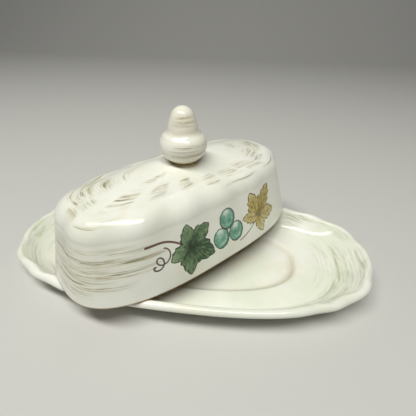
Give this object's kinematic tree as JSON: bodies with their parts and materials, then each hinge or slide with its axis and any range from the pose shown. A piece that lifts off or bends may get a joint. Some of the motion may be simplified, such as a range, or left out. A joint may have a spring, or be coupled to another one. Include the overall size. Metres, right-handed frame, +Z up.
{
  "type": "covered butter dish",
  "caption": "Glazed earthenware butter dish: a scalloped oval tray with a shallow well, and a long domed cover with a gourd knob, lying askew across the rim.",
  "frame": {"origin": "middle of the flat base that the tray stands on", "axes": "+X along the tray, +Y towards its far side, +Z up"},
  "size_m": [0.24, 0.154, 0.1066],
  "materials": {
    "tray_glaze": "gloss",
    "cover_glaze": "gloss",
    "knob_glaze": "gloss",
    "slip_glaze": "gloss"
  },
  "bodies": {
    "tray": {"tray": "tray_glaze"},
    "cover": {"cover_shell": "cover_glaze", "knob_slip": "slip_glaze", "knob": "knob_glaze"}
  },
  "joints": [
    {"name": "cover_lift", "type": "slide", "parent": "tray", "child": "cover", "axis": [0, 0, 1], "range_m": [0, 0.09]}
  ]
}
